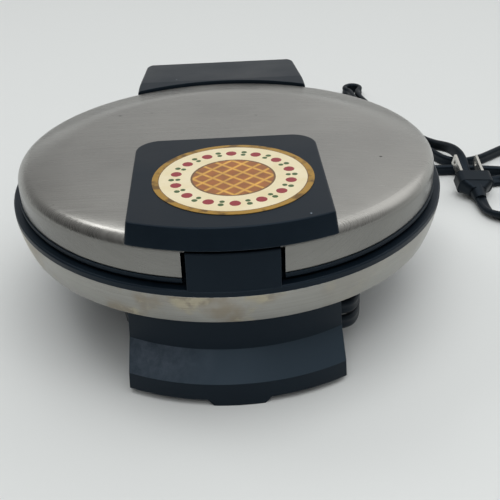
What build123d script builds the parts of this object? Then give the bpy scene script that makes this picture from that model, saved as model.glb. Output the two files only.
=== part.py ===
from build123d import *
import math
import os

# Round waffle maker: steel banded base on two plastic stands, tilted steel lid
# on a rear hinge, two cast waffle plates and a flat mains cord.
# Millimetres. Z is up, the lid handle points to -Y and the hinge lies at +Y.
# The sizes are written about the axis of the round body; everything is moved
# by axis_y at the end, so that the origin is below the middle of the whole.

# Base body
rim_r = 98.5
rim_low_z = 56.0
rim_top_z = 58.8
rim_bevel = 0.6
band_low_r = rim_r - 3.5
band_low_z = rim_low_z - 14.0
band_bulge = 0.5
band_wall = 0.6
band_hem = 3.4
hem_thick = 0.5
channel_out_r = rim_r - 4.0
channel_in_r = rim_r - 9.9
channel_depth = 1.9
rim_skirt_r = rim_r - 4.5
rim_skirt_wall = 1.8
pan_wall = 2.2
pan_flange_r = band_low_r - 2.2
pan_flange_z = band_low_z - 1.4
pan_floor_r = pan_flange_r - 14.8
pan_floor_z = pan_flange_z - 7.6

# Waffle plates
parting_gap = 0.4
parting_z = rim_top_z + 0.1 + parting_gap / 2
lower_plate_z = parting_z - parting_gap / 2
upper_plate_z = parting_z + parting_gap / 2
plate_r = channel_in_r - 4.4
plate_flange = 2.2
cavity_r = plate_r - 4.7
cavity_depth = 6.5
cavity_draft = 1.5
plate_wall = 2.2
plate_clear = 0.3
ledge_width = 2.4
ledge_thick = 2.0
post_pitch = 11.0
post_base = 6.6
post_height = 4.2
post_taper = 12.0
post_to_divider = 2.6
divider_base = 4.4
divider_height = 5.9
element_ring_r = cavity_r - 33.5
element_r = 2.5
element_boss_rise = 1.2
element_depth = 2.4
element_gap_deg = 44.0
cold_pin_r = 1.5
cold_pin_end = element_ring_r + 20.0

# Lid
lid_r = rim_r - 3.5
lid_low_z = rim_top_z + 3.4
lid_mid_z = lid_low_z + 10.55
lid_slope = 0.05
lid_crown = 3.0
lid_wall = 0.7
lid_edge_round = 5.0
lid_seat_gap = 0.15
lid_ring_r = lid_r + 0.6
lid_ring_draft = 0.9
lid_ring_step = 1.2
spigot_fit = 0.9
spigot_rise = 2.3

# Hinge
hinge_y = rim_r - 6.9
hinge_z = rim_top_z + 10.2
pin_r = 2.0
pin_fit = 0.05
barrel_r = 2.9
barrel_gap = 0.4
block_half = 18.0
block_cheek = 4.5
block_top_z = hinge_z + 5.3
block_top_r = rim_r - 2.2
block_front_y = hinge_y - barrel_r - 4.0
notch_half = block_half + 1.8
notch_front_y = hinge_y - 7.6
arm_thick = 2.2
arm_low_z = hinge_z - 1.0
arm_front_y = hinge_y - 17.6
arm_rear_y = notch_front_y - 0.4
arm_swing_y = block_front_y - 2.2
arm_leg_x = block_half + 4.5
arm_leg_y = notch_front_y - 1.0
arm_leg_r = 2.4

# Hinge cover
cover_rear_r = rim_r
cover_top_r = cover_rear_r - 2.5
cover_low_z = block_top_z + 2.3
cover_top_z = cover_low_z + 8.7
cover_slope = 0.033
cover_low_half = 40.6
cover_top_half = cover_low_half - 1.2
cover_far_half = cover_low_half - 0.6
cover_length = 88.5
cover_far_y = cover_rear_r - cover_length
cover_corner = 11.0
cover_wall = 2.2
cover_edge_round = 0.8
cover_screw_x = cover_low_half - 10.6
cover_screw_y = hinge_y - 13.1
label_r = 33.0
label_thick = 0.25
label_x = -2.0
label_y = cover_top_r - 42.5

# Lid handle
handle_reach = lid_r + 45.0
handle_root_half = 45.5
handle_tip_half = handle_root_half - 2.5
handle_corner = 8.0
handle_root_z = lid_low_z + 6.8
handle_tip_z = handle_root_z - 4.4
handle_low_z = rim_top_z + 0.2
handle_tip_thick = 7.0
handle_edge_round = 1.5
tongue_half = handle_root_half - 15.5
tongue_reach = handle_reach - 16.0
tongue_thick = 2.0
tongue_gap = 0.3
handle_screw_x = tongue_half - 10.0
handle_screw_y = -tongue_reach + 12.0

# Screws
screw_r = 1.5
screw_fit = 0.02
screw_hole_r = 1.55
screw_head_r = 2.7
screw_head = 1.8

# Stands
stand_wall = 3.5
stand_upper_r = pan_flange_r - 6.8
stand_foot_r = stand_upper_r + 10.0
stand_step_z = pan_floor_z - 11.4
stand_ledge_z = stand_step_z - 10.4
stand_edge_z = 3.0
stand_top_z = pan_flange_z - 0.6
stand_top_half = 44.0
stand_low_half = stand_top_half + 2.0
stand_flange_r = pan_floor_r - 4.0
stand_flange = 2.0
stand_rib_x = 20.0
stand_rib = 2.4
stand_screw_x = stand_rib_x + 4.0
stand_screw_y = stand_flange_r - 1.0
tab_top_half = 13.8
tab_low_half = tab_top_half - 3.2
console_flat_y = stand_foot_r - 3.6
console_back_y = console_flat_y - 34.4
console_wall = 3.0
console_shoulder_z = pan_floor_z
console_neck_r = stand_foot_r - 6.0
console_screw_y = -console_back_y + 5.0
foot_x = 33.0
foot_y = stand_upper_r - 5.0
foot_r = 4.5
foot_stem_r = 2.0
foot_boss_r = 5.5
foot_fit = 0.05

# Cord pedestal under the pan
pedestal_half = 42.0
pedestal_front_y = 2.0
pedestal_rear_y = stand_flange_r - 14.5
pedestal_corner = 12.0
pedestal_low_z = 10.0
pedestal_wall = 2.2
keeper_out = 7.0
keeper_half = 15.0

# Front controls
knob_z = 18.5
knob_r = 12.0
knob_depth = 11.0
knob_gap = 0.6
knob_draft = 1.0
knob_flutes = 16
knob_shaft_r = 3.0
shaft_fit = 0.05
lens_x = knob_r + 8.5
lens_z = knob_z + 5.5
lens_r = 2.6
lens_head_r = 3.4
lens_fit = 0.1
holder_half = 4.4

# Wiring
terminal_y = pedestal_rear_y - 11.5
terminal_pitch = 9.0
terminal_floor_z = pedestal_low_z + pedestal_wall
terminal_top_z = terminal_floor_z + 11.0
wire_x = element_ring_r * math.sin(math.radians(element_gap_deg / 2))
wire_y = cold_pin_end - 4.0
wire_seat = 0.3
wire_r = 1.3

# Cord and plug: a flat twin cord, drawn here as a round one of like bulk
cord_r = 2.5
cord_gap = 7.0
cord_side_gap = 5.0
cord_slack = 12.5
cord_layer = 7.6
cord_top_z = 27.2
cord_corner_cut = 8.8
cord_bow = 1.2
cord_start_x = 0.0
wind_tight_x = pedestal_half + cord_side_gap
wind_loose_x = pedestal_half + cord_slack
wind_rear_y = pedestal_rear_y + cord_gap
wind_front_y = pedestal_front_y - cord_gap
relief_length = 22.0
relief_x = cord_start_x + relief_length
relief_end_r = 3.6
relief_root_r = 4.0
relief_bore_fit = 0.6
plug_length = 8.0
plug_width = 20.5
plug_height = 10.5
plug_neck = 8.0
plug_roll = 6.0
blade_length = 16.0
blade_width = 6.35
blade_thick = 1.5
blade_spacing = 12.7

axis_y = (handle_reach - rim_r) / 2

os.makedirs("parts", exist_ok=True)


def turned(*points):
    outline = Plane.XZ * Polyline(*points, close=True)
    return revolve(make_face(outline), Axis.Z)


def block(x0, x1, y0, y1, z0, z1):
    box = Box(x1 - x0, y1 - y0, z1 - z0, align=(Align.MIN, Align.MIN, Align.MIN))
    return Pos(x0, y0, z0) * box


def rod(radius, start, end):
    start = Vector(*start)
    span = Vector(*end) - start
    cylinder = Cylinder(radius, span.length, align=(Align.CENTER, Align.CENTER, Align.MIN))
    return Plane(origin=start, z_dir=span) * cylinder


def wedge(top_half, low_half, top_z, low_z, y0, y1):
    side = Plane.XZ * Polyline(
        (-low_half, low_z), (low_half, low_z), (top_half, top_z), (-top_half, top_z), close=True
    )
    return Pos(0, y1, 0) * extrude(make_face(side), amount=y1 - y0)


def save(name, *solids):
    kids = []
    for solid in solids:
        kids.extend(solid.solids())
    shape = kids[0] if len(kids) == 1 else Compound(children=kids)
    export_step(Pos(0, axis_y, 0) * shape, os.path.join("parts", name + ".step"))


# Pan, pedestal and the space above them
flange_top_z = band_low_z
cone_slope = (pan_flange_z - pan_floor_z) / (pan_flange_r - pan_floor_r)


def pan_under_z(radius):
    return pan_floor_z + max(0, radius - pan_floor_r) * cone_slope


def pedestal_plan(grow):
    width = 2 * (pedestal_half + grow)
    depth = pedestal_rear_y - pedestal_front_y + 2 * grow
    middle = (pedestal_rear_y + pedestal_front_y) / 2
    return Pos(0, middle) * RectangleRounded(width, depth, pedestal_corner + grow)


def make_pan():
    inner_z = pan_floor_z + pan_wall
    shell = turned(
        (0, pan_floor_z),
        (pan_floor_r, pan_floor_z),
        (pan_flange_r, pan_flange_z),
        (pan_flange_r, flange_top_z),
        (pan_flange_r - pan_wall - 0.4, flange_top_z),
        (pan_floor_r - 1, inner_z),
        (0, inner_z),
    )
    tub = extrude(Pos(0, 0, pedestal_low_z) * pedestal_plan(0), amount=inner_z - pedestal_low_z)
    middle = (pedestal_rear_y + pedestal_front_y) / 2
    reach_x = pedestal_half + keeper_out
    reach_y = (pedestal_rear_y - pedestal_front_y) / 2 + keeper_out
    keeper_top = pedestal_low_z + pedestal_wall
    shell += tub
    half = keeper_half
    shell += block(-reach_x, reach_x, middle - half, middle + half, pedestal_low_z, keeper_top)
    shell += block(-half, half, middle - reach_y, middle + reach_y, pedestal_low_z, keeper_top)
    room = Pos(0, 0, keeper_top) * pedestal_plan(-pedestal_wall)
    shell -= extrude(room, amount=inner_z)
    shell -= block(-30, 30, -pan_floor_r - 2, -console_back_y - console_wall - 2, 0, inner_z + 20)
    for x in (-stand_screw_x, stand_screw_x):
        shell -= rod(screw_hole_r, (x, stand_screw_y, 0), (x, stand_screw_y, inner_z + 1))
        shell -= rod(screw_hole_r, (x, console_screw_y, 0), (x, console_screw_y, inner_z + 1))
    inside = (relief_x, pedestal_rear_y - 4, cord_top_z)
    outside = (relief_x, pedestal_rear_y + 1, cord_top_z)
    return shell - rod(cord_r + relief_bore_fit, inside, outside)


def make_band():
    top_in = rim_r - band_wall
    low_in = band_low_r - band_wall
    mid_z = (rim_low_z + band_low_z) / 2
    mid_r = (rim_r + band_low_r) / 2 + band_bulge
    hem_z = band_low_z + hem_thick
    low = (band_low_r, 0, band_low_z)
    outside = ThreePointArc((rim_r, 0, rim_low_z), (mid_r, 0, mid_z), low)
    hem_r = band_low_r - band_hem
    hem = Polyline(low, (hem_r, 0, band_low_z), (hem_r, 0, hem_z), (low_in, 0, hem_z))
    inside = ThreePointArc((low_in, 0, hem_z), (mid_r - band_wall, 0, mid_z), (top_in, 0, rim_low_z))
    top = Line((top_in, 0, rim_low_z), (rim_r, 0, rim_low_z))
    outline = outside.edges() + hem.edges() + inside.edges() + top.edges()
    return revolve(make_face(outline), Axis.Z)


def make_rim():
    ledge_top = lower_plate_z - plate_flange
    ledge_r = plate_r + plate_clear
    ledge_low = ledge_top - ledge_thick
    skirt_in = rim_skirt_r - rim_skirt_wall
    rim = turned(
        (rim_r, rim_low_z),
        (rim_r, rim_top_z - rim_bevel),
        (rim_r - rim_bevel, rim_top_z),
        (channel_out_r, rim_top_z),
        (channel_out_r - 0.8, rim_top_z - channel_depth),
        (channel_in_r + 0.8, rim_top_z - channel_depth),
        (channel_in_r, rim_top_z - 0.5),
        (ledge_r, rim_top_z - 0.5),
        (ledge_r, ledge_top),
        (ledge_r - ledge_width, ledge_top),
        (ledge_r - ledge_width, ledge_low),
        (skirt_in, ledge_low),
        (skirt_in, band_low_z + hem_thick),
        (rim_skirt_r, band_low_z + hem_thick),
        (rim_skirt_r, rim_low_z),
    )
    return rim + make_hinge_block()


def make_hinge_block():
    floor_z = rim_top_z - channel_depth
    rear = turned((0, floor_z), (rim_r, floor_z), (block_top_r, block_top_z), (0, block_top_z))
    outer = block(-block_half, block_half, block_front_y, rim_r + 1, floor_z, block_top_z) & rear
    top_edges = outer.edges().filter_by_position(Axis.Z, block_top_z, block_top_z)
    rear_edge = top_edges.sort_by(Axis.Y)[-1]
    outer = fillet(rear_edge, 0.8)
    rear_y = hinge_y + barrel_r + barrel_gap - 0.05
    half = block_half - block_cheek
    room = block(-half, half, block_front_y - 1, rear_y, rim_top_z + 1.6, block_top_z + 1)
    outer -= room
    end = block_half + 1
    return outer - rod(pin_r + 0.02, (-end, hinge_y, hinge_z), (end, hinge_y, hinge_z))


def grid_positions():
    first = divider_base / 2 + post_to_divider + post_base / 2
    count = int((cavity_r - first) / post_pitch) + 1
    steps = [first + post_pitch * k for k in range(count)]
    signed = [-s for s in reversed(steps)] + steps
    limit = cavity_r - cavity_draft - post_base * 0.72
    return [(x, y) for x in signed for y in signed if math.hypot(x, y) < limit]


def make_grid_plate():
    """A grid plate with its cooking side up and its flange top at height 0"""
    floor = -cavity_depth
    back = floor - plate_wall
    boss = back - element_boss_rise
    low_r = cavity_r - cavity_draft
    plate = turned(
        (0, floor),
        (low_r - 1.0, floor),
        (low_r, floor + 0.8),
        (cavity_r, 0),
        (plate_r, 0),
        (plate_r, -plate_flange),
        (cavity_r + plate_wall, -plate_flange),
        (low_r + plate_wall, back),
        (element_ring_r + 5.0, back),
        (element_ring_r + 4.2, boss),
        (element_ring_r - 4.2, boss),
        (element_ring_r - 5.0, back),
        (0, back),
    )
    ridge_half = divider_base / 2
    ridge = Plane.XZ * Polyline(
        (-ridge_half, -0.4),
        (ridge_half, -0.4),
        (ridge_half - 1.0, divider_height),
        (-ridge_half + 1.0, divider_height),
        close=True,
    )
    bar = Pos(0, cavity_r, floor) * extrude(make_face(ridge), amount=2 * cavity_r)
    reach = Cylinder(cavity_r - 0.2, 4 * (cavity_depth + divider_height)) & (bar + Rot(0, 0, 90) * bar)
    stub = extrude(Rectangle(post_base, post_base), amount=post_height, taper=post_taper)
    root = Pos(0, 0, -0.4) * extrude(Rectangle(post_base, post_base), amount=0.4)
    post = stub + root
    posts = [Pos(x, y, floor) * post for x, y in grid_positions()]
    plate = plate.fuse(reach, *posts)
    groove = Pos(0, 0, element_centre()) * Torus(element_ring_r, element_r + 0.1)
    for side in (-1, 1):
        start, end = cold_pin_line(side)
        plate -= rod(cold_pin_r + 0.1, start, end)
    return plate - groove


def element_centre():
    back = -cavity_depth - plate_wall - element_boss_rise
    return back + element_depth - element_r


def cold_pin_line(side):
    """Ends of a heating tube's cold pin, which leaves the ring's open side along +Y"""
    half_gap = math.radians(element_gap_deg / 2)
    x = side * element_ring_r * math.sin(half_gap)
    y = element_ring_r * math.cos(half_gap)
    z = element_centre() - element_r + cold_pin_r
    return (x, y, z), (x, cold_pin_end, z)


def make_element():
    """The heating tube of a plate that lies cooking side up"""
    centre = element_centre()
    ring = CenterArc((0, 0, centre), element_ring_r, 90 + element_gap_deg / 2, 360 - element_gap_deg)
    start = Plane(origin=ring @ 0, z_dir=ring % 0)
    tube = sweep(start * Circle(element_r), path=ring)
    for side in (-1, 1):
        root, end = cold_pin_line(side)
        tube += rod(cold_pin_r, root, end)
    for end in (ring @ 0, ring @ 1):
        tube += Pos(end.X, end.Y, end.Z) * Sphere(element_r)
    return tube


def flip(shape):
    """Turn a lower half over about the parting line, so that it faces down"""
    return mirror(shape, about=Plane.XY)


def lid_block(inset, low_z):
    """Solid of the lid's outer form, drawn in by inset, from low_z upwards"""
    radius = lid_r - inset
    sphere_r = (lid_r**2 + lid_crown**2) / (2 * lid_crown)
    tilt = Vector(0, -lid_slope, 1).normalized()
    apex = Vector(0, 0, lid_mid_z + lid_crown)
    centre = apex - tilt * sphere_r
    drum = Pos(0, 0, low_z) * Cylinder(radius, 40, align=(Align.CENTER, Align.CENTER, Align.MIN))
    ball = Pos(centre.X, centre.Y, centre.Z) * Rot(0, 90, 0) * Sphere(sphere_r - inset)
    form = drum & ball
    top_edge = [e for e in form.edges() if e.center().Z > low_z + 1 and e.geom_type != GeomType.LINE]
    return fillet(top_edge, lid_edge_round - inset)


def make_lid_shell():
    shell = lid_block(0, lid_low_z) - lid_block(lid_wall, lid_low_z - 1)
    shell -= block(-notch_half, notch_half, notch_front_y, lid_r + 5, lid_low_z - 1, cover_top_z)
    for x in (-cover_screw_x, cover_screw_x):
        shell -= rod(screw_hole_r, (x, cover_screw_y, lid_low_z), (x, cover_screw_y, cover_top_z))
    return shell


def make_lid_frame():
    ledge_z = upper_plate_z + plate_flange
    ledge_r = plate_r + plate_clear
    low_z = upper_plate_z + 0.1
    spigot_r = lid_r - lid_wall - spigot_fit
    frame = turned(
        (lid_ring_r - lid_ring_draft, low_z),
        (lid_ring_r, low_z + lid_ring_step),
        (lid_ring_r, lid_low_z),
        (spigot_r, lid_low_z),
        (spigot_r, lid_low_z + spigot_rise),
        (spigot_r - 3.0, lid_low_z + spigot_rise),
        (spigot_r - 3.0, ledge_z + 2.0),
        (ledge_r - ledge_width, ledge_z + 2.0),
        (ledge_r - ledge_width, ledge_z),
        (ledge_r, ledge_z),
        (ledge_r, low_z),
    )
    tongue = block(-tongue_half, tongue_half, -tongue_reach, -lid_r + 3, low_z, low_z + tongue_thick)
    for x in (-handle_screw_x, handle_screw_x):
        tongue -= rod(screw_hole_r, (x, handle_screw_y, low_z - 1), (x, handle_screw_y, low_z + 5))
    frame += tongue
    frame -= block(-notch_half, notch_half, notch_front_y, lid_r + 5, low_z - 1, lid_low_z + 5)
    for x in (-arm_leg_x, arm_leg_x):
        foot = rod(arm_leg_r, (x, arm_leg_y, ledge_z + 1.0), (x, arm_leg_y, arm_low_z))
        frame += foot
    return frame


def make_hinge_arm():
    """Bracket of the lid: a plate on two posts of the lid frame, an arm and a barrel"""
    half = block_half - block_cheek - barrel_gap
    top_z = arm_low_z + arm_thick
    wide = cover_screw_x + 4
    plate = block(-wide, wide, arm_front_y, arm_rear_y, arm_low_z, top_z)
    swing = block_half + 0.6
    plate -= block(-swing, swing, arm_swing_y, arm_rear_y + 1, arm_low_z - 1, top_z + 1)
    arm = block(-half, half, arm_swing_y - 1, hinge_y, arm_low_z, top_z)
    barrel = rod(barrel_r, (-half, hinge_y, hinge_z), (half, hinge_y, hinge_z))
    bracket = plate + arm + barrel
    bracket -= rod(pin_r + pin_fit, (-half - 1, hinge_y, hinge_z), (half + 1, hinge_y, hinge_z))
    for x in (-cover_screw_x, cover_screw_x):
        bracket -= rod(screw_hole_r, (x, cover_screw_y, arm_low_z - 1), (x, cover_screw_y, top_z + 1))
    return bracket


def cover_outline(near_half, far_half, rear_r, far_y, corner, height):
    side_y = math.sqrt(rear_r**2 - near_half**2)
    rear = ThreePointArc((near_half, side_y), (0, rear_r), (-near_half, side_y))
    sides = Polyline((-near_half, side_y), (-far_half, far_y), (far_half, far_y), (near_half, side_y))
    face = make_face(Curve() + [rear, sides])
    far_corners = face.vertices().group_by(Axis.Y)[0]
    face = fillet(far_corners, corner)
    near_corners = [v for v in face.vertices() if abs(v.Y - side_y) < 0.01]
    return Pos(0, 0, height) * fillet(near_corners, 1.2)


def cover_form(inset, low_z, high_z):
    """Closed form of the hinge cover between two heights, drawn in by inset"""
    span = cover_top_z - cover_low_z

    def at(height):
        share = (height - cover_low_z) / span
        rear = cover_rear_r + (cover_top_r - cover_rear_r) * share - inset
        half = cover_low_half + (cover_top_half - cover_low_half) * share - inset
        far = cover_far_half - share * 0.8 - inset
        far_y = cover_far_y + share * 0.8 + inset
        return cover_outline(half, far, rear, far_y, cover_corner - inset, height)

    return loft([at(low_z), at(high_z)], ruled=True)


def cover_top_cut(drop):
    """Everything above the sloping top of the hinge cover"""
    tilt = math.degrees(math.atan(cover_slope))
    wide = 3 * rim_r
    slab = Box(wide, wide, cover_top_z - cover_low_z + 30, align=(Align.CENTER, Align.CENTER, Align.MIN))
    return Pos(0, cover_top_r, cover_top_z - drop) * Rot(tilt, 0, 0) * slab


def make_hinge_cover():
    low_z = cover_low_z - 4.6
    high_z = cover_top_z + 6.7
    cover = cover_form(0, low_z, high_z) - cover_top_cut(0)
    top_face = cover.faces().sort_by(Axis.Z)[-1]
    cover = fillet(top_face.edges(), cover_edge_round)
    core = cover_form(cover_wall, low_z - 1, high_z) - cover_top_cut(cover_wall)
    cover -= core
    post_top = cover_top_z - 1.0 - (cover_top_r - cover_screw_y) * cover_slope
    for x in (-cover_screw_x, cover_screw_x):
        cover += rod(3.6, (x, cover_screw_y, cover_low_z - 2.6), (x, cover_screw_y, post_top))
    cover -= lid_block(-lid_seat_gap, lid_low_z)
    skirt_half = cover_low_half + 20
    cover -= block(-skirt_half, skirt_half, cover_far_y + 45, cover_rear_r + 12, lid_low_z, cover_low_z)
    for x in (-cover_screw_x, cover_screw_x):
        start = (x, cover_screw_y, arm_low_z)
        cover -= rod(screw_r + screw_fit, start, (x, cover_screw_y, arm_low_z + 13.5))
    return cover


def make_label():
    tilt = math.degrees(math.atan(cover_slope))
    disc = Cylinder(label_r, label_thick, align=(Align.CENTER, Align.CENTER, Align.MIN))
    height = cover_top_z - (cover_top_r - label_y) * cover_slope
    return Pos(label_x, label_y, height) * Rot(tilt, 0, 0) * disc


def make_handle():
    root_y = -lid_r + 25
    plan = make_face(
        Polyline(
            (-handle_root_half, root_y),
            (handle_root_half, root_y),
            (handle_root_half, -lid_r + 5),
            (handle_tip_half, -handle_reach),
            (-handle_tip_half, -handle_reach),
            (-handle_root_half, -lid_r + 5),
            close=True,
        )
    )
    plan = fillet(plan.vertices().group_by(Axis.Y)[0], handle_corner)
    slab = extrude(Pos(0, 0, handle_low_z - 9) * plan, amount=30)
    top = [
        (root_y, handle_root_z + 0.6),
        (-lid_r - 2, handle_root_z),
        (-handle_reach + 3, handle_tip_z),
        (-handle_reach - 1, handle_tip_z - 1.5),
    ]
    low = [
        (-handle_reach - 1, handle_tip_z - handle_tip_thick),
        (-handle_reach + 12, handle_low_z),
        (root_y, handle_low_z),
    ]
    side = make_face(Plane.YZ * Polyline(*top, *low, close=True))
    handle = slab & extrude(side, amount=handle_root_half + 5, both=True)
    sharp = [e for e in handle.edges() if e.center().Y < -lid_r - 6 and e.center().Z > handle_tip_z - 4]
    handle = fillet(sharp, handle_edge_round)
    tall = 2 * (lid_mid_z - handle_low_z) + 30
    steel = Cylinder(lid_r + lid_seat_gap, tall, align=(Align.CENTER, Align.CENTER, Align.MIN))
    ring = Cylinder(lid_ring_r + 0.3, tall, align=(Align.CENTER, Align.CENTER, Align.MAX))
    handle -= Pos(0, 0, handle_low_z - 19) * steel
    handle -= Pos(0, 0, lid_low_z + 0.2) * ring
    low_z = upper_plate_z + 0.1
    half = tongue_half + tongue_gap
    handle -= block(-half, half, -tongue_reach - tongue_gap, 0, low_z - 5, low_z + tongue_thick)
    for x in (-handle_screw_x, handle_screw_x):
        start = (x, handle_screw_y, low_z - 5)
        handle -= rod(screw_r + screw_fit, start, (x, handle_screw_y, low_z + 5.8))
    return handle


def stand_profile():
    inner_upper = stand_upper_r - stand_wall
    inner_foot = stand_foot_r - stand_wall
    under = pan_floor_z - stand_flange
    return [
        (stand_flange_r, under),
        (stand_flange_r, pan_floor_z),
        (pan_floor_r, pan_floor_z),
        (stand_upper_r, pan_under_z(stand_upper_r) - 0.2),
        (stand_upper_r, stand_step_z),
        (stand_foot_r, stand_ledge_z),
        (stand_foot_r, stand_edge_z),
        (inner_foot, stand_edge_z),
        (inner_foot, stand_ledge_z - 1.4),
        (inner_upper, stand_step_z - 1.4),
        (inner_upper, under),
    ]


def make_rear_stand():
    outer_y = stand_foot_r + 5
    keep = wedge(stand_top_half, stand_low_half, stand_top_z, stand_edge_z, pedestal_rear_y + 2, outer_y)
    stand = turned(*stand_profile()) & keep
    inner_upper = stand_upper_r - 1
    rib_in_r = stand_flange_r + 1.5
    rib = turned(
        (rib_in_r, pan_floor_z - 1),
        (inner_upper, pan_floor_z - 1),
        (inner_upper, stand_step_z - 1),
        (stand_foot_r - 1, stand_ledge_z - 1),
        (stand_foot_r - 1, stand_edge_z + 1),
        (stand_foot_r - 12, stand_edge_z + 1),
        (rib_in_r, stand_ledge_z + 4),
    )
    for x in (-stand_rib_x, stand_rib_x):
        half = stand_rib / 2
        blade = block(x - half, x + half, rib_in_r - 3, outer_y, stand_edge_z, stand_top_z)
        stand += blade & rib
    for x in (-foot_x, foot_x):
        boss = rod(foot_boss_r, (x, foot_y, stand_edge_z), (x, foot_y, stand_ledge_z + 1))
        bridge = block(x - 3, x + 3, foot_y, foot_y + 9, stand_edge_z, stand_ledge_z)
        stand += boss + (bridge & Cylinder(stand_foot_r - 1, 3 * stand_ledge_z))
        stand -= foot_hole(x, foot_y)
    inner_foot = stand_foot_r - stand_wall
    tab_top = stand_edge_z + 0.5
    ring = turned((inner_foot, 0), (stand_foot_r, 0), (stand_foot_r, tab_top), (inner_foot, tab_top))
    stand += wedge(tab_top_half, tab_low_half, tab_top, 0, foot_y, outer_y) & ring
    for x in (-stand_screw_x, stand_screw_x):
        stand -= rod(screw_hole_r, (x, stand_screw_y, stand_step_z), (x, stand_screw_y, pan_floor_z + 1))
    return stand


def foot_hole(x, y):
    return rod(foot_stem_r + foot_fit, (x, y, stand_edge_z - 1), (x, y, stand_edge_z + 6.5))


def make_front_stand():
    """Hollow console below the handle side, with the control panel on its flat face"""
    profile = turned(
        (0, stand_edge_z),
        (stand_foot_r, stand_edge_z),
        (stand_foot_r, console_shoulder_z),
        (console_neck_r, pan_under_z(console_neck_r) - 0.3),
        (pan_floor_r, pan_floor_z),
        (0, pan_floor_z),
    )
    ends = (-console_flat_y, -console_back_y)
    keep = wedge(stand_top_half, stand_low_half, stand_top_z, stand_edge_z, *ends)
    outer = profile & keep
    wall = console_wall
    room_top_z = band_low_z
    room = turned(
        (0, stand_edge_z + wall),
        (stand_foot_r - wall, stand_edge_z + wall),
        (stand_foot_r - wall, console_shoulder_z - 2),
        (console_neck_r - wall, room_top_z),
        (0, room_top_z),
    )
    top_half = stand_top_half - wall
    low_half = stand_low_half - wall
    front_y = -console_flat_y + wall
    back_y = -console_back_y - wall
    inner = wedge(top_half, low_half, room_top_z + 3, stand_edge_z + wall, front_y, back_y)
    stand = outer - (inner & room)
    flange_half = stand_screw_x + 8
    under = pan_floor_z - stand_flange
    rear_y = console_screw_y + 6
    stand += block(-flange_half, flange_half, -console_back_y - 1, rear_y, under, pan_floor_z)
    for x in (-foot_x, foot_x):
        stand += rod(foot_boss_r, (x, -foot_y, stand_edge_z), (x, -foot_y, stand_edge_z + 9))
        stand -= foot_hole(x, -foot_y)
    for x in (-stand_screw_x, stand_screw_x):
        hole_low = (x, console_screw_y, stand_step_z)
        stand -= rod(screw_hole_r, hole_low, (x, console_screw_y, pan_floor_z + 1))
    outside = -console_flat_y - 1
    stand -= rod(knob_shaft_r + shaft_fit, (0, outside, knob_z), (0, front_y + 1, knob_z))
    for x in (-lens_x, lens_x):
        stand -= rod(lens_r + lens_fit, (x, outside, lens_z), (x, front_y + 1, lens_z))
    return stand


def make_knob():
    face_y = -console_flat_y - knob_gap
    tip_y = face_y - knob_depth
    skirt = rod(knob_r + 0.8, (0, face_y, knob_z), (0, face_y - 2.2, knob_z))
    body = loft(
        [
            Plane(origin=(0, face_y - 2.0, knob_z), z_dir=(0, -1, 0)) * Circle(knob_r - 1.4),
            Plane(origin=(0, tip_y, knob_z), z_dir=(0, -1, 0)) * Circle(knob_r - 1.4 - knob_draft),
        ]
    )
    knob = skirt + body
    for k in range(knob_flutes):
        turn = math.radians(360 * (k + 0.5) / knob_flutes)
        r = knob_r - 1.0
        x = r * math.cos(turn)
        z = knob_z + r * math.sin(turn)
        knob -= rod(1.1, (x, face_y - 3.0, z), (x, tip_y - 1, z))
    pointer = block(-0.7, 0.7, tip_y - 0.5, tip_y + 1, knob_z + 2, knob_z + knob_r - 2.8)
    shaft = rod(knob_shaft_r, (0, face_y - 1, knob_z), (0, -console_flat_y + console_wall + 7, knob_z))
    return knob + pointer + shaft


def make_thermostat():
    """Switch body on the inside of the panel, turned by the knob's shaft"""
    front = -console_flat_y + console_wall
    body = block(-11, 11, front, front + 14, knob_z - 8, knob_z + 9)
    body += block(-7, 7, front + 14, front + 17, knob_z - 5, knob_z + 6)
    body -= rod(knob_shaft_r + shaft_fit, (0, front - 1, knob_z), (0, front + 8, knob_z))
    return body


def make_lens(side):
    x = side * lens_x
    face = -console_flat_y
    head = rod(lens_head_r, (x, face, lens_z), (x, face - 1.0, lens_z))
    dome = Pos(x, face - 1.0, lens_z) * Sphere(lens_r)
    dome &= block(x - 5, x + 5, face - 6, face - 0.5, lens_z - 5, lens_z + 5)
    stem = rod(lens_r, (x, face - 0.5, lens_z), (x, face + console_wall + 3, lens_z))
    return head + dome + stem


def make_lamp_holder(side):
    x = side * lens_x
    front = -console_flat_y + console_wall
    half = holder_half
    body = block(x - half, x + half, front, front + 12, lens_z - half, lens_z + half)
    return body - rod(lens_r + lens_fit, (x, front - 1, lens_z), (x, front + 9, lens_z))


def make_feet():
    feet = []
    for y in (foot_y, -foot_y):
        for x in (-foot_x, foot_x):
            pad = rod(foot_r, (x, y, 0), (x, y, stand_edge_z))
            pad = fillet(pad.edges().sort_by(Axis.Z)[0], 0.6)
            feet.append(pad + rod(foot_stem_r, (x, y, stand_edge_z - 0.5), (x, y, stand_edge_z + 6)))
    return feet


def make_screw(x, y, seat_z, length):
    """Pan head screw: its head bears on seat_z from below and its shank runs up from there"""
    slot_z = seat_z - screw_head
    head = rod(screw_head_r, (x, y, slot_z), (x, y, seat_z))
    head = fillet(head.edges().sort_by(Axis.Z)[0], 0.7)
    shank = rod(screw_r, (x, y, seat_z - 0.4), (x, y, seat_z + length))
    cross = block(x - 1.5, x + 1.5, y - 0.3, y + 0.3, slot_z - 0.7, slot_z + 0.7)
    cross += block(x - 0.3, x + 0.3, y - 1.5, y + 1.5, slot_z - 0.7, slot_z + 0.7)
    return head + shank - cross


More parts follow.
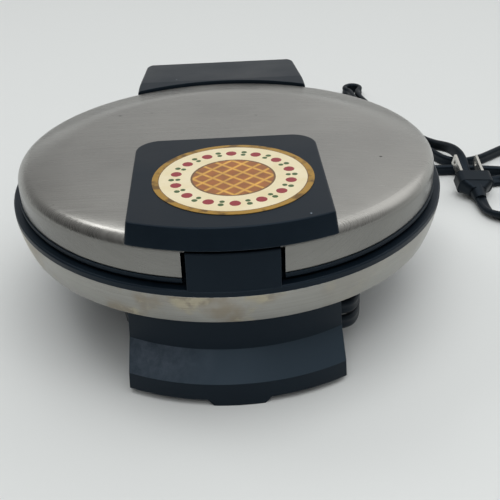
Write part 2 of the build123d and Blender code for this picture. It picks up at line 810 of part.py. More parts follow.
def make_heat_shield():
    """Thin dish under the lower plate, hung from the underside of the rim's ledge"""
    top = lower_plate_z - plate_flange - ledge_thick
    wall = 0.6
    radius = cavity_r + plate_wall + 0.7
    floor = top - 10.4
    dish = turned(
        (0, floor),
        (radius - 3, floor),
        (radius, floor + 3),
        (radius, top - wall),
        (radius + 4.4, top - wall),
        (radius + 4.4, top),
        (radius - wall, top),
        (radius - wall, floor + 3.2),
        (radius - 3.2, floor + wall),
        (0, floor + wall),
    )
    for x in (-wire_x, wire_x):
        dish -= rod(2.6, (x, wire_y, floor - 1), (x, wire_y, floor + 2))
    return dish


def element_pin_z():
    """Height of the lowest side of the lower element's cold pins"""
    return lower_plate_z + element_centre() - element_r


def make_wires():
    """Two leads that rise from the terminal block to the lower element's pins"""
    wires = []
    for side in (-1, 1):
        x = side * wire_x
        low = (side * terminal_pitch, terminal_y, terminal_top_z)
        bend = (side * terminal_pitch, terminal_y, pan_floor_z)
        over = (x, wire_y, pan_floor_z + pan_wall + 5)
        high = (x, wire_y, element_pin_z() - wire_seat)
        path = FilletPolyline(low, bend, over, high, radius=2.5)
        wires.append(sweep(Plane(origin=path @ 0, z_dir=path % 0) * Circle(wire_r), path=path))
    return wires


def make_terminal_block():
    y = terminal_y
    body = block(-16, 16, y - 6, y + 6, terminal_floor_z, terminal_top_z)
    for x in (-terminal_pitch, 0, terminal_pitch):
        body += block(x - 3.4, x + 3.4, y - 8, y + 8, terminal_floor_z, terminal_top_z - 4)
    for x in (-4.5, 4.5):
        body -= block(x - 0.5, x + 0.5, y - 5, y + 5, terminal_top_z - 3, terminal_top_z + 1)
    return body


def make_plate_sensor():
    """Bimetal sensor on the back of the lower plate, inside the heating ring"""
    back = lower_plate_z - cavity_depth - plate_wall
    body = rod(8.0, (0, -18, back), (0, -18, back - 4.6))
    body += block(-12, 12, -21, -15, back - 1.2, back)
    return body


def make_thermal_fuse():
    back = lower_plate_z - cavity_depth - plate_wall
    case = rod(2.0, (-9, 12, back - 2.0), (9, 12, back - 2.0))
    clip = block(-4, 4, 9.4, 14.6, back - 4.6, back)
    return clip + case - block(-3.2, 3.2, 9, 15, back - 6, back - 4.1)


def cord_tube(points, radii, name):
    path = FilletPolyline(*points, radius=radii)
    tube = sweep(Plane(origin=path @ 0, z_dir=path % 0) * Circle(cord_r), path=path)
    swept = math.pi * cord_r**2 * path.length
    print(name, "length", round(path.length, 1), "volume share", round(tube.volume / swept, 4))
    return tube, path


def bend_radii(points):
    radii = []
    for before, here, after in zip(points, points[1:], points[2:]):
        first = Vector(*here) - Vector(*before)
        second = Vector(*after) - Vector(*here)
        turn = math.radians(first.get_angle(second))
        radii.append(0.45 * min(first.length, second.length) / math.tan(turn / 2))
    return radii


def middle(first, second):
    return tuple((a + b) / 2 for a, b in zip(first, second))


def winding_turn(z, fall):
    """One turn of the winding from the rear left corner, slack at -X; it falls along the +X side"""
    mid_y = (wind_front_y + wind_rear_y) / 2
    front_y = wind_front_y + cord_corner_cut
    rear_y = wind_rear_y - cord_corner_cut
    loose = wind_loose_x - cord_corner_cut
    tight = wind_tight_x - cord_corner_cut
    return [
        (-loose, wind_rear_y, z),
        (-wind_loose_x, rear_y, z),
        (-wind_loose_x - cord_bow, mid_y, z),
        (-wind_loose_x, front_y, z),
        (-loose, wind_front_y, z),
        (0, wind_front_y - cord_bow, z),
        (tight, wind_front_y, z),
        (wind_tight_x, front_y, z - fall * 0.1),
        (wind_tight_x + cord_bow, mid_y, z - fall * 0.5),
        (wind_tight_x, rear_y, z - fall * 0.9),
        (tight, wind_rear_y, z - fall),
        (0, wind_rear_y + cord_bow, z - fall),
    ]


def winding_points():
    """The winding starts at the relief's end, makes a turn and ends half way down the -X side"""
    upper = winding_turn(cord_top_z, cord_layer)
    lower = winding_turn(cord_top_z - cord_layer, 0)
    return [(cord_start_x, wind_rear_y, cord_top_z)] + upper + lower[:3]


# Hand laid route from the winding to the plug, about the body axis: under the
# base, then a loose bundle with one short and one long loop
lead_points = [
    (-wind_loose_x, -16, cord_top_z - cord_layer),
    (-55.5, -50, 8.5),
    (-60, -82, 2.6),
    (-76, -103, 2.6),
    (-95, -107, 2.6),
    (-111, -104, 2.6),
]
hank_points = [
    (-126.8, -101.3, 2.6),
    (-137, -101.2, 2.6),
    (-148, -99.4, 2.6),
    (-161, -96.2, 2.6),
    (-177, -92.5, 2.6),
    (-196, -90.5, 2.6),
    (-214, -95, 2.6),
    (-224, -109, 2.6),
    (-219, -126, 2.6),
    (-204, -134.5, 2.6),
    (-188, -132.5, 2.6),
    (-174.5, -125.6, 2.6),
    (-164.5, -118.5, 2.6),
    (-155.5, -112.3, 2.6),
    (-146.5, -109.3, 2.6),
    (-138.3, -110.8, 2.6),
    (-132.6, -116.8, 2.6),
    (-129, -126, 2.6),
    (-120.5, -145.5, 2.6),
    (-110.5, -167, 2.6),
    (-101.5, -187, 2.6),
    (-95, -207, 2.6),
    (-91.6, -226, 2.6),
    (-91.8, -236.5, 2.6),
    (-96.6, -239.4, 2.6),
    (-101.4, -236.5, 2.6),
    (-101, -226, 2.6),
    (-103.8, -207, 2.6),
    (-109.5, -187, 2.6),
    (-117.5, -167, 2.6),
    (-126.8, -148, 2.6),
    (-132, -138, 3.8),
]
tail_points = [
    (-136.8, -126, 6.6),
    (-140, -113, 8.9),
    (-142.6, -100, 8.8),
    (-146, -92.5, 6.2),
    (-153.5, -88.3, 3.2),
    (-164, -87.5, 2.6),
    (-175, -84.5, 2.6),
    (-183.5, -76.5, 2.6),
    (-187, -64.5, 2.6),
    (-184.5, -51.5, 2.6),
    (-175.5, -42, 2.6),
    (-163, -37.5, 2.6),
    (-151.5, -40, 2.6),
    (-144.6, -46.3, 2.6),
    (-142.9, -54, 2.6),
    (-142.6, -60.5, 4.4),
]


def least_gap(path, skip):
    """Least clear distance between stretches of a tube that lie skip apart along it"""
    count = 500
    points = [path @ (k / count) for k in range(count + 1)]
    step = path.length / count
    apart = int(skip / step) + 1
    least = path.length
    for i in range(count):
        for j in range(i + apart, count, 2):
            least = min(least, (points[i] - points[j]).length)
    return least - 2 * cord_r


def make_cord():
    winding = winding_points()
    start = middle(winding[-1], lead_points[0])
    first = middle(lead_points[-1], hank_points[0])
    last = middle(hank_points[-1], tail_points[0])
    routes = {
        "cord_winding": winding + [start],
        "cord_lead": [start] + lead_points + [first],
        "cord_hank": [first] + hank_points + [last],
        "cord_tail": [last] + tail_points,
    }
    tubes = {}
    total = 0
    for name, points in routes.items():
        radii = bend_radii(points)
        tube, path = cord_tube(points, radii, name)
        print(name, "radii", [round(r, 1) for r in radii])
        print(name, "least gap to itself", round(least_gap(path, 18), 2))
        tubes[name] = tube
        total += path.length
    print("cord length", round(total, 1))
    return tubes


def make_strain_relief():
    """Angled relief: a foot on the pedestal's rear wall and a ribbed sleeve along it"""
    x0 = cord_start_x
    y = wind_rear_y
    z = cord_top_z
    foot_low = z - relief_root_r
    foot = block(x0 + 15, x0 + relief_length + 4, pedestal_rear_y, y + 2.6, foot_low, z + relief_root_r)
    foot += rod(cord_r + 0.5, (relief_x, pedestal_rear_y - 3.5, z), (relief_x, y, z))
    ends = [(x0 + 16, relief_root_r), (x0, relief_end_r)]
    sections = [Plane(origin=(x, y + 0.4, z), z_dir=(-1, 0, 0)) * Circle(r) for x, r in ends]
    sleeve = loft(sections)
    sleeve &= block(x0 - 1, x0 + 20, pedestal_rear_y + 0.05, y + 9, z - 10, z + 10)
    for k in range(4):
        x = x0 + 3.2 + 3.0 * k
        kept = rod(relief_end_r - 0.5, (x - 1, y, z), (x + 2, y, z))
        sleeve -= rod(10, (x, y, z), (x + 0.9, y, z)) - kept
    return foot + sleeve


def plug_plane(distance):
    """Plane across the plug, at a distance from the end of the cord along its last run"""
    tip = Vector(*tail_points[-1])
    way = (tip - Vector(*tail_points[-2])).normalized()
    level = Vector(0, 0, 1).cross(way).normalized()
    roll = math.radians(plug_roll)
    across = level * math.cos(roll) + way.cross(level) * math.sin(roll)
    return Plane(origin=tip + way * distance, x_dir=across, z_dir=way)


def make_plug():
    root = plug_plane(0)
    neck = loft([root * Circle(cord_r + 0.9), plug_plane(plug_neck) * Circle(4.6)])
    shoulder = loft(
        [
            plug_plane(plug_neck - 2) * RectangleRounded(9.5, 8.0, 3.0),
            plug_plane(plug_neck + 3) * RectangleRounded(plug_width - 1, plug_height - 0.6, 3),
        ]
    )
    section = RectangleRounded(plug_width, plug_height, 3)
    body = extrude(plug_plane(plug_neck + 2.8) * section, amount=plug_length)
    return neck + shoulder + body


def make_blades():
    face = plug_plane(plug_neck + 2.8 + plug_length)
    blades = []
    for side in (-1, 1):
        at = Pos(side * blade_spacing / 2, 0, 0)
        blade = extrude(face * (at * Rectangle(blade_thick, blade_width)), amount=blade_length)
        hole = Pos(side * blade_spacing / 2, 0, blade_length - 4) * Rot(0, 90, 0) * Cylinder(1.6, 6)
        blades.append(blade - face * hole)
    return blades


def main():
    lower = Pos(0, 0, lower_plate_z)
    upper = Pos(0, 0, upper_plate_z)
    grid = make_grid_plate()
    element = make_element()
    save("base_rim", make_rim())
    save("base_band", make_band())
    save("base_pan", make_pan())
    save("rear_stand", make_rear_stand())
    save("front_stand", make_front_stand())
    save("rubber_feet", *make_feet())
    save("lower_grid_plate", lower * grid)
    save("lower_heating_element", lower * element)
    save("heat_shield", make_heat_shield())
    save("plate_sensor", make_plate_sensor())
    save("thermal_fuse", make_thermal_fuse())
    save("terminal_block", make_terminal_block())
    save("element_wires", *make_wires())
    save("thermostat", make_thermostat())
    save("power_lens", make_lens(-1))
    save("ready_lens", make_lens(1))
    save("lamp_holders", make_lamp_holder(-1), make_lamp_holder(1))
    save("control_knob", make_knob())
    save("hinge_pin", rod(pin_r, (-block_half, hinge_y, hinge_z), (block_half, hinge_y, hinge_z)))
    seat_z = pan_floor_z - stand_flange
    places = [(x, y) for y in (stand_screw_y, console_screw_y) for x in (-stand_screw_x, stand_screw_x)]
    save("stand_screws", *[make_screw(x, y, seat_z, 6) for x, y in places])

    save("lid_shell", make_lid_shell())
    save("lid_frame", make_lid_frame())
    save("upper_grid_plate", upper * flip(grid))
    save("upper_heating_element", upper * flip(element))
    save("hinge_arm", make_hinge_arm())
    save("hinge_cover", make_hinge_cover())
    save("label_disc", make_label())
    save("lid_handle", make_handle())
    tongue_z = upper_plate_z + 0.1
    pair = (-handle_screw_x, handle_screw_x)
    save("handle_screws", *[make_screw(x, handle_screw_y, tongue_z, 5.5) for x in pair])
    pair = (-cover_screw_x, cover_screw_x)
    save("cover_screws", *[make_screw(x, cover_screw_y, arm_low_z, 13) for x in pair])

    for name, tube in make_cord().items():
        save(name, tube)
    save("strain_relief", make_strain_relief())
    save("mains_plug", make_plug())
    save("plug_blades", *make_blades())


main()
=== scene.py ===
import math

import bmesh
import bpy
from mathutils import Matrix, Vector


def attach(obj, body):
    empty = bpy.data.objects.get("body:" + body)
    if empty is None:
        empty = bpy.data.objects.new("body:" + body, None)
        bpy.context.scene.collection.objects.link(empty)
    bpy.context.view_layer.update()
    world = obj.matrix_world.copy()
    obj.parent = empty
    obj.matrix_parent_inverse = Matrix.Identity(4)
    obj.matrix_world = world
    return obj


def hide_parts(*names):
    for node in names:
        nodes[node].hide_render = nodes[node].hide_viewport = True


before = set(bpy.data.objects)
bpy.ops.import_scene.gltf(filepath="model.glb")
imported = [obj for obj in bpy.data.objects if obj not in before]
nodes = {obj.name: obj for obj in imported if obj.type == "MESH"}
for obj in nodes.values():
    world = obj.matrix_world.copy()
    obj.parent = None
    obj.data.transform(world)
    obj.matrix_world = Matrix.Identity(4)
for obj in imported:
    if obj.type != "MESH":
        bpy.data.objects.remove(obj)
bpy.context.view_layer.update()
print("frame loaded:", len(nodes), "nodes")

mm = 0.001
perMetre = 1000  # a pattern's scale is this over its size in mm
bodyShift = 20.75  # the round body's axis lies this far behind the row's origin, in mm


# Small helpers

# settings that many nodes share; a colour mix has its share at 0, its colours at 6 and 7, its result at 2
times = {"operation": "MULTIPLY"}
cappedTimes = {"operation": "MULTIPLY", "use_clamp": True}
plus = {"operation": "ADD"}
cappedPlus = {"operation": "ADD", "use_clamp": True}
minus = {"operation": "SUBTRACT"}
below = {"operation": "LESS_THAN"}
above = {"operation": "GREATER_THAN"}
layered = {"data_type": "RGBA", "blend_type": "MIX"}
multiplied = {"data_type": "RGBA", "blend_type": "MULTIPLY"}


def toLinear(hexColour):
    # "#rrggbb" as sRGB, turned to the linear values that shaders use
    values = [int(hexColour[i:i + 2], 16) / 255 for i in (1, 3, 5)]
    linear = [v / 12.92 if v <= 0.04045 else ((v + 0.055) / 1.055) ** 2.4 for v in values]
    return (*linear, 1.0)


def setStops(elements, stops):
    # the places and colours of a ramp, where a plain number is a grey level
    for place, _ in stops[1:-1]:
        elements.new(place)
    for element, (place, colour) in zip(elements, stops):
        element.position = place
        element.color = toLinear(colour) if isinstance(colour, str) else (colour, colour, colour, 1.0)


def addNode(tree, kind, settings=None, inputs=None, result=0):
    # an input is a socket to link, a value or "#rrggbb"; the output of that number or name comes back
    node = tree.nodes.new("ShaderNode" + kind)
    for name, value in (settings or {}).items():
        if name == "stops":
            setStops(node.color_ramp.elements, value)
        else:
            setattr(node, name, value)
    for name, value in (inputs or {}).items():
        if isinstance(value, bpy.types.NodeSocket):
            tree.links.new(value, node.inputs[name])
        else:
            node.inputs[name].default_value = toLinear(value) if isinstance(value, str) else value
    return node.outputs[result] if len(node.outputs) else None


def startMaterial(name):
    material = bpy.data.materials.new(name)
    material.use_nodes = True
    material.node_tree.nodes.clear()
    return material, material.node_tree


def closeMaterial(tree, inputs):
    surface = addNode(tree, "BsdfPrincipled", {}, inputs)
    addNode(tree, "OutputMaterial", {}, {"Surface": surface})


def stretchedPlace(tree, scale, turn=0.0, place=(0, 0, 0)):
    # Object coordinates, in metres, turned about Z and stretched for a pattern
    where = addNode(tree, "TexCoord", result="Object")
    return addNode(tree, "Mapping", {}, {
        "Vector": where, "Location": place, "Rotation": (0, 0, turn), "Scale": scale,
    })


def dress(names, material):
    for name in names:
        piece = nodes[name]
        piece.data.materials.clear()
        piece.data.materials.append(material)


def bodyPoint(x, y, z):
    # a point about the round body's axis, in mm, as a place in the row frame
    return Vector((x * mm, (y + bodyShift) * mm, z * mm))


def nodeBox(name):
    # a node's box in the row frame, from its own mesh
    points = [nodes[name].matrix_world @ v.co for v in nodes[name].data.vertices]
    return [min(p[i] for p in points) for i in range(3)], [max(p[i] for p in points) for i in range(3)]


# Camera at the photograph's angle

shot = {
    "eye": (0.00273, 0.40105, 0.2497),
    "azimuth": 178.16,
    "elevation": 31.54,
    "roll": -2.08,
    "sensor": 36,
    "lens": 64.8,
    "clip": (0.01, 50),
}


def makeCamera():
    data = bpy.data.cameras.new("photoCamera")
    data.sensor_width = shot["sensor"]
    data.lens = shot["lens"]
    data.clip_start, data.clip_end = shot["clip"]
    camera = bpy.data.objects.new("photoCamera", data)
    turn = Matrix.Rotation(math.radians(shot["azimuth"]), 4, "Z")
    turn = turn @ Matrix.Rotation(math.radians(90 - shot["elevation"]), 4, "X")
    turn = turn @ Matrix.Rotation(math.radians(shot["roll"]), 4, "Z")
    camera.matrix_world = Matrix.Translation(shot["eye"]) @ turn
    bpy.context.scene.collection.objects.link(camera)
    bpy.context.scene.camera = camera


makeCamera()
print("camera placed")


# Mains cord: a flat twin cord, wound under the base and bundled beside it, in mm about the body's axis

cordShape = {
    "width": 6.6,
    "thickness": 3.5,
    "groove": 118,  # each conductor's outline runs this many degrees to both sides
    "outlineSteps": 12,
    "smoothness": 12,
    "tightX": 47.0,
    "looseX": 54.5,
    "windFrontY": -5.0,
    "windRearY": 66.5,
    "cornerCut": 8.8,
    "bow": 1.2,
    "topZ": 27.2,
    "layer": 7.6,
    "sag": 4.0,
    "onEdge": 90,
}

# from the winding, over the stand's edge and down to the floor
cordLead = [
    (-54.5, -16, 19.6), (-55.5, -50, 9.2), (-60, -82, 3.3), (-76, -103, 3.3), (-95, -107, 3.3),
    (-111, -104, 3.3),
]
# the wide loop, then the long flat one with its far fold
cordHank = [
    (-126.8, -101.3, 3.3), (-137, -101.2, 3.3), (-148, -99.4, 3.3), (-161, -96.2, 3.3),
    (-177, -92.5, 3.3), (-196, -90.5, 3.3), (-214, -95, 3.3), (-224, -109, 3.3), (-219, -126, 3.3),
    (-204, -134.5, 3.3), (-188, -132.5, 3.3), (-174.5, -125.6, 3.3), (-164.5, -118.5, 3.3),
    (-155.5, -112.3, 3.3), (-146.5, -109.3, 3.3), (-138.3, -110.8, 3.3), (-132.6, -116.8, 3.3),
    (-129, -126, 3.3), (-120.5, -145.5, 3.3), (-110.5, -167, 3.3), (-101.8, -187, 3.3),
    (-96.6, -207, 3.3), (-94.0, -221, 3.3), (-93.5, -229.6, 3.3), (-89.9, -234.4, 3.3),
    (-91.0, -239.0, 3.3), (-95.7, -241.6, 3.3), (-100.4, -239.0, 3.3), (-101.5, -234.4, 3.3),
    (-97.9, -229.6, 3.3), (-98.4, -221, 3.3), (-101.6, -207, 3.3), (-108.2, -187, 3.3),
    (-117.5, -166, 3.3), (-126.8, -146, 3.3), (-132.5, -134.5, 4.6),
]
# over the bundle, down between the plug's blades and round into the plug
cordTail = [
    (-137.8, -122, 8.4), (-140.3, -111, 10.7), (-141.3, -101, 10.2), (-141.8, -92.5, 5.0),
    (-144.5, -85.8, 2.4), (-152, -84.2, 2.3), (-163, -85.2, 3.1), (-175, -83, 3.3),
    (-183.5, -76.5, 3.3), (-187, -64.5, 3.3), (-184.5, -51.5, 3.3), (-175.5, -42, 3.3),
    (-163, -37.5, 3.4), (-151.5, -40, 3.5), (-144.6, -46.3, 3.1), (-142.9, -54, 2.8),
    (-142.6, -60.5, 4.4),
]
# degrees at the tail's points: it turns flat to pass between the blades, and again for the plug
tailLean = [90, 60, 20, 5, 0, 10, 60, 90, 90, 90, 90, 90, 90, 72, 40, 10, 0]


def windingTurn(z, fall):
    # one turn from the rear corner at -X, slack and sagging on that side; it falls along the +X side
    tight = cordShape["tightX"]
    loose = cordShape["looseX"]
    rear = cordShape["windRearY"]
    front = cordShape["windFrontY"]
    cut = cordShape["cornerCut"]
    bow = cordShape["bow"]
    sag = cordShape["sag"]
    middle = (rear + front) / 2
    return [
        (cut - loose, rear, z - sag * 0.7),
        (-loose, rear - cut, z - sag),
        (-loose - bow, middle, z - sag * 0.3),
        (-loose, front + cut, z),
        (cut - loose, front, z),
        (0, front - bow, z),
        (tight - cut, front, z),
        (tight, front + cut, z - fall * 0.1),
        (tight + bow, middle, z - fall * 0.5),
        (tight, rear - cut, z - fall * 0.9),
        (tight - cut, rear, z - fall),
        (0, rear + bow, z - fall),
    ]


def cordRoute():
    top = cordShape["topZ"]
    wound = [(0, cordShape["windRearY"], top)]
    wound += windingTurn(top, cordShape["layer"])
    wound += windingTurn(top - cordShape["layer"], 0)[:3]
    return wound + cordLead + cordHank + cordTail


def addRoute(name, points, leans):
    data = bpy.data.curves.new(name, "CURVE")
    data.dimensions = "3D"
    data.resolution_u = cordShape["smoothness"]
    data.twist_mode = "Z_UP"
    spline = data.splines.new("NURBS")
    spline.points.add(len(points) - 1)
    for point, place, lean in zip(spline.points, points, leans):
        point.co = (*bodyPoint(*place), 1.0)
        point.tilt = math.radians(lean)
    spline.order_u = 3
    spline.use_endpoint_u = True
    line = bpy.data.objects.new(name, data)
    bpy.context.scene.collection.objects.link(line)
    return line


def curveMesh(line):
    bpy.context.view_layer.update()
    graph = bpy.context.evaluated_depsgraph_get()
    return bpy.data.meshes.new_from_object(line.evaluated_get(graph))


def twinProfile():
    # outline of two round conductors side by side, with the groove that parts them
    radius = cordShape["thickness"] / 2
    offset = cordShape["width"] / 2 - radius
    reach = cordShape["groove"]
    steps = cordShape["outlineSteps"]
    outline = []
    for side in (1, -1):
        for step in range(steps + 1):
            turn = math.radians(-reach + step * 2 * reach / steps)
            outline.append((side * (offset + radius * math.cos(turn)), side * radius * math.sin(turn)))
    data = bpy.data.curves.new("twinOutline", "CURVE")
    data.dimensions = "2D"
    spline = data.splines.new("POLY")
    spline.points.add(len(outline) - 1)
    for point, (x, y) in zip(spline.points, outline):
        point.co = (x * mm, y * mm, 0, 1)
    spline.use_cyclic_u = True
    profile = bpy.data.objects.new("twinOutline", data)
    bpy.context.scene.collection.objects.link(profile)
    return profile


def makeCord():
    route = cordRoute()
    leans = [cordShape["onEdge"]] * (len(route) - len(tailLean)) + tailLean
    line = addRoute("cordLine", route, leans)
    path = [tuple(v.co) for v in curveMesh(line).vertices]
    profile = twinProfile()
    line.data.bevel_mode = "OBJECT"
    line.data.bevel_object = profile
    line.data.use_fill_caps = True
    cord = bpy.data.objects.new("mainsCord", curveMesh(line))
    bpy.context.scene.collection.objects.link(cord)
    for helper in (line, profile):
        bpy.data.objects.remove(helper)
    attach(cord, "base")
    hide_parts("cord_winding", "cord_lead", "cord_hank", "cord_tail")
    return cord


mainsCord = makeCord()


# Floor and light

stageLook = {
    "floorSize": 7.0,
    "floorColour": "#dfe2e1",
    "floorRoughness": 0.9,
    "backdrop": "#e9ebea",
}


def makeFloor():
    shape = bmesh.new()
    bmesh.ops.create_grid(shape, x_segments=1, y_segments=1, size=stageLook["floorSize"] / 2)
    mesh = bpy.data.meshes.new("studioFloor")
    shape.to_mesh(mesh)
    shape.free()
    floor = bpy.data.objects.new("studioFloor", mesh)
    bpy.context.scene.collection.objects.link(floor)
    # matt paper: it shows the shadow and no gloss
    material, tree = startMaterial("matteFloor")
    closeMaterial(tree, {
        "Base Color": stageLook["floorColour"], "Roughness": stageLook["floorRoughness"],
    })
    mesh.materials.append(material)


roomLook = {
    "brightFrom": (-0.38, -0.55, 0.74),  # above, and from the far right of the picture
    "stops": [(0.12, 0.035), (0.42, 0.10), (0.68, 0.27), (0.82, 0.42), (0.95, 0.70)],
    "backdropTop": [(0.02, 1.0), (0.17, 0.0)],  # by height: metal and glass see the backdrop low down
    "backdropSide": [(0.35, 0.0), (0.75, 1.0)],  # by how far a ray points straight behind the object
}


def makeWorld():
    world = bpy.data.worlds.new("studioWorld")
    bpy.context.scene.world = world
    world.use_nodes = True
    tree = world.node_tree
    tree.nodes.clear()
    # the room gets lighter towards one side
    where = addNode(tree, "TexCoord", result="Generated")
    facing = addNode(tree, "VectorMath", {"operation": "DOT_PRODUCT"},
                     {0: where, 1: roomLook["brightFrom"]}, "Value")
    share = addNode(tree, "MapRange", {}, {"Value": facing, "From Min": -1.0, "From Max": 1.0})
    shade = addNode(tree, "ValToRGB", {"stops": roomLook["stops"]}, {"Fac": share})
    room = addNode(tree, "Background", {}, {"Color": shade, "Strength": 1.0})
    backdrop = addNode(tree, "Background", {}, {"Color": stageLook["backdrop"], "Strength": 1.0})
    # the camera sees the pale backdrop all round, and mirrored rays see it low behind the object
    heading = addNode(tree, "SeparateXYZ", {}, {"Vector": where}).node.outputs
    low = addNode(tree, "ValToRGB", {"stops": roomLook["backdropTop"]}, {"Fac": heading["Z"]})
    back = addNode(tree, "Math", times, {0: heading["Y"], 1: -1.0})
    behind = addNode(tree, "ValToRGB", {"stops": roomLook["backdropSide"]}, {"Fac": back})
    covered = addNode(tree, "Math", times, {0: low, 1: behind})
    rays = addNode(tree, "LightPath").node.outputs
    mirrored = addNode(tree, "Math", cappedPlus,
                       {0: rays["Is Glossy Ray"], 1: rays["Is Transmission Ray"]})
    mirrored = addNode(tree, "Math", times, {0: mirrored, 1: covered})
    seen = addNode(tree, "Math", {"operation": "MAXIMUM"}, {0: rays["Is Camera Ray"], 1: mirrored})
    mix = addNode(tree, "MixShader", {}, {0: seen, 1: room, 2: backdrop})
    addNode(tree, "OutputWorld", {}, {"Surface": mix})


lampSet = [
    # name, place, aimed at, size, watts
    ("ceilingSoftbox", (-0.10, 0.30, 1.75), (0, 0.05, 0.05), 1.5, 15.0),
    ("nearSoftbox", (0.22, 1.35, 1.35), (0, 0.10, 0.03), 0.8, 5.0),
    ("windowSoftbox", (-1.35, -0.55, 1.05), (0, 0, 0.05), 1.2, 2.5),
    ("cornerSoftbox", (0.87, -0.63, 1.56), (0, 0.05, 0.05), 0.55, 3.0),
]


def makeLamps():
    for name, place, target, size, watts in lampSet:
        data = bpy.data.lights.new(name, "AREA")
        data.shape = "SQUARE"
        data.size = size
        data.energy = watts
        lamp = bpy.data.objects.new(name, data)
        lamp.location = place
        aim = Vector(target) - Vector(place)
        lamp.rotation_euler = aim.to_track_quat("-Z", "Y").to_euler()
        bpy.context.scene.collection.objects.link(lamp)


makeFloor()
makeWorld()
makeLamps()
bpy.context.scene.view_settings.view_transform = "Standard"
print("stage and lamps ready")


# Patterns that several materials share, with sizes in mm

def specks(tree, pitch, share, size):
    # a few round dots: one in each chosen cell of a pattern
    place = stretchedPlace(tree, (1, 1, 1))
    cells = addNode(tree, "TexVoronoi", {}, {"Vector": place, "Scale": perMetre / pitch}).node.outputs
    chosen = addNode(tree, "SeparateColor", {}, {"Color": cells["Color"]}).node.outputs
    picked = addNode(tree, "Math", above, {0: chosen["Red"], 1: 1 - share})
    reach = addNode(tree, "Math", times, {0: chosen["Green"], 1: size / pitch})
    near = addNode(tree, "Math", below, {0: cells["Distance"], 1: reach})
    return addNode(tree, "Math", times, {0: picked, 1: near})


def clouds(tree, size, detail=4.0, roughness=0.55, place=(0, 0, 0)):
    # noise with patches of about this size
    return addNode(tree, "TexNoise", {}, {
        "Vector": stretchedPlace(tree, (1, 1, 1), 0.0, place),
        "Scale": perMetre / size, "Detail": detail, "Roughness": roughness,
    })


def brushLines(tree, place):
    # streaks, from a place that is already stretched along them
    return addNode(tree, "TexNoise", {}, {"Vector": place, "Scale": 1.0, "Detail": 5.0, "Roughness": 0.65})


def edgeHighlightMask(tree, rounded):
    # the mask of the painted edge highlights: 1 along sharp edges, where the rounded shading leaves the
    # face's own normal
    face = addNode(tree, "NewGeometry", result="Normal")
    agree = addNode(tree, "VectorMath", {"operation": "DOT_PRODUCT"}, {0: rounded, 1: face}, "Value")
    turned = addNode(tree, "Math", minus, {0: 1.0, 1: agree})
    return addNode(tree, "ValToRGB", {"stops": [(0.02, 0.0), (0.16, 1.0)]}, {"Fac": turned})


def upwardShare(tree):
    # how far the surface faces up
    facing = addNode(tree, "TexCoord", result="Normal")
    return addNode(tree, "SeparateXYZ", {}, {"Vector": facing}, "Z")


# Moulded black plastic

absLook = {
    "colour": "#09121a",
    "worn": "#101a22",
    "lint": "#75808a",
    "sheen": "#b4cbe2",
    "edgeHighlight": "#3d474f",
    "roughness": (0.38, 0.51),
    "ior": 1.5,
    "shine": 0.3,
    "patch": (32.0, 5.0, 0.6),  # size, detail and roughness of the noise
    "lintSpecks": (5.0, 0.03, 0.55),  # pitch, share of the cells, size
    "edge": 0.45,
    "edgeHighlightReach": 1.3,  # the more, the longer the stretches of painted highlight along the edges
    "grain": (0.5, 2.0),  # the real grain is finer, and wouldn't show
    "grainDepth": 0.05,
    "grainStrength": 0.16,
}
# where a cleaner dried and dust lies on the stand, in mm about the body's axis; the painted toplight paints
# the upward faces lighter, as if lit from above
standDustAndToplight = {
    "place": (34, 75, 17),
    "size": 30.0,
    "patch": (7.0, 7.0, 0.68),
    "colour": "#565e69",
    "paintedToplight": "#303b44",
    "paintedToplightStrength": 0.85,
}


def addDustAndToplight(tree, dustAndToplight, colour):
    # painted toplight: what faces upwards is painted lighter, as if lit from above; and a pale patch of dust
    # about the given place, on those upward faces only
    toplightStops = [(0.3, 0.0), (0.6, dustAndToplight["paintedToplightStrength"])]
    paintedToplight = addNode(tree, "ValToRGB", {"stops": toplightStops}, {"Fac": upwardShare(tree)})
    colour = addNode(tree, "Mix", layered, {0: paintedToplight, 6: colour, 7: dustAndToplight["paintedToplight"]}, 2)
    where = addNode(tree, "TexCoord", result="Object")
    away = addNode(tree, "VectorMath", {"operation": "DISTANCE"},
                   {0: where, 1: tuple(bodyPoint(*dustAndToplight["place"]))}, "Value")
    away = addNode(tree, "Math", times, {0: away, 1: perMetre / dustAndToplight["size"]})
    near = addNode(tree, "ValToRGB", {"stops": [(0.2, 1.0), (1.0, 0.0)]}, {"Fac": away})
    patchy = clouds(tree, *dustAndToplight["patch"])
    patchy = addNode(tree, "ValToRGB", {"stops": [(0.36, 0.12), (0.68, 1.0)]}, {"Fac": patchy})
    amount = addNode(tree, "Math", times, {0: near, 1: patchy})
    amount = addNode(tree, "Math", times, {0: amount, 1: paintedToplight})
    return addNode(tree, "Mix", layered, {0: amount, 6: colour, 7: dustAndToplight["colour"]}, 2)


